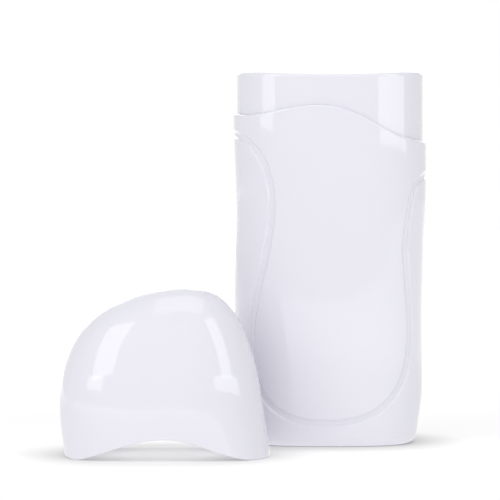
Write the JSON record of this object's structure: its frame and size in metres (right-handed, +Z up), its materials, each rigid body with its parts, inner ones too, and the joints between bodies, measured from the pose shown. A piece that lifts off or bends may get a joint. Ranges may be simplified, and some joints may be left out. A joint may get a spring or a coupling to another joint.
{
  "type": "roll-on wax warmer",
  "caption": "Oval hand-held warmer for a roll-on wax cartridge: split housing with a wavy lip and wrap-round grip groove, open collar with a heated well, and a matching dome cap stood beside it.",
  "frame": {"origin": "centre of the base plate's underside, on the surface that the warmer stands on", "axes": "+X to the right seen from the front, +Y to the rear, +Z up"},
  "size_m": [0.1298, 0.0987, 0.1346],
  "materials": {
    "white_plastic": "gloss, cool white",
    "black_plastic": "matt black",
    "red_plastic": "gloss red",
    "clear_plastic": "clear, polished",
    "red_lens": "clear red",
    "red_lamp": "gloss red",
    "steel": "zinc plated",
    "spring_steel": "bare spring steel",
    "aluminium": "satin drawn",
    "brass": "tinned edge, satin",
    "nickel_pins": "nickel plated",
    "amber_film": "amber film",
    "dark_ceramic": "matt dark grey",
    "pale_ceramic": "matt cream",
    "glass_sleeve": "varnished glass-fibre braid",
    "green_board": "green mask",
    "resistor_body": "gloss tan",
    "brown_insulation": "matt brown",
    "white_insulation": "matt white",
    "blue_insulation": "matt blue",
    "red_insulation": "matt red"
  },
  "bodies": {
    "housing": {"front_shell": "white_plastic", "rear_shell": "white_plastic", "neck_sleeve": "white_plastic", "base_plate": "white_plastic", "base_screws": "steel", "heater_cup": "aluminium", "cup_screws": "steel", "insulating_films": "amber_film", "inner_electrode": "brass", "outer_electrode": "brass", "ptc_ceramics": "dark_ceramic", "heater_clamp": "spring_steel", "heater_screws": "steel", "thermostat": "black_plastic", "thermal_fuse": "pale_ceramic", "fuse_sleeve": "glass_sleeve", "thermostat_clip": "spring_steel", "level_window": "clear_plastic", "rocker_case": "black_plastic", "switch_terminals": "brass", "inlet_socket": "black_plastic", "inlet_pins": "nickel_pins", "control_board": "green_board", "board_screws": "steel", "indicator_led": "red_lamp", "indicator_lens": "red_lens", "series_resistor": "resistor_body", "live_wire": "brown_insulation", "switch_wire": "brown_insulation", "fuse_wires": "white_insulation", "neutral_wire": "blue_insulation", "indicator_wires": "red_insulation"},
    "cap": {"cap": "white_plastic"},
    "rocker": {"power_rocker": "red_plastic"}
  },
  "joints": [
    {"name": "cap_lift", "type": "slide", "parent": "housing", "child": "cap", "axis": [0, 0, 1], "range_m": [0, 0.14]},
    {"name": "rocker_tilt", "type": "hinge", "parent": "housing", "child": "rocker", "pos_m": [0, 0.0244, 0.0264], "axis": [1, 0, 0], "range_deg": [0, 20]}
  ]
}
